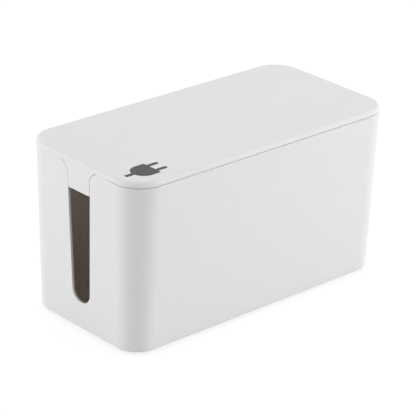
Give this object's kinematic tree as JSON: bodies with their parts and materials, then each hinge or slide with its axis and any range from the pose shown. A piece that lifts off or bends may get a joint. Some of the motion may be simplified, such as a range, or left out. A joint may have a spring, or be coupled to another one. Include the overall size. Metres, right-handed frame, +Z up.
{
  "type": "cable management box",
  "caption": "Closed plastic box with rounded corners that hides a power strip, with a cable slot in each end and a lid that lifts straight off.",
  "frame": {"origin": "on the surface that the box stands on, under the centre of the box", "axes": "+X along the box's length, through both cable slots; +Y from the plain front side to the plain rear side; +Z up"},
  "size_m": [0.2358, 0.1158, 0.127],
  "materials": {
    "box_plastic": "fine satin moulded texture, pale grey-white",
    "lid_plastic": "fine satin moulded texture, pale grey-white, with one small dark grey print",
    "foot_rubber": "matt soft rubber"
  },
  "bodies": {
    "box": {"tub": "box_plastic", "foot_front_left": "foot_rubber", "foot_front_right": "foot_rubber", "foot_rear_left": "foot_rubber", "foot_rear_right": "foot_rubber"},
    "cover": {"lid": "lid_plastic"}
  },
  "joints": [
    {"name": "lid_lift", "type": "slide", "parent": "box", "child": "cover", "axis": [0, 0, 1], "range_m": [0, 0.06]}
  ]
}
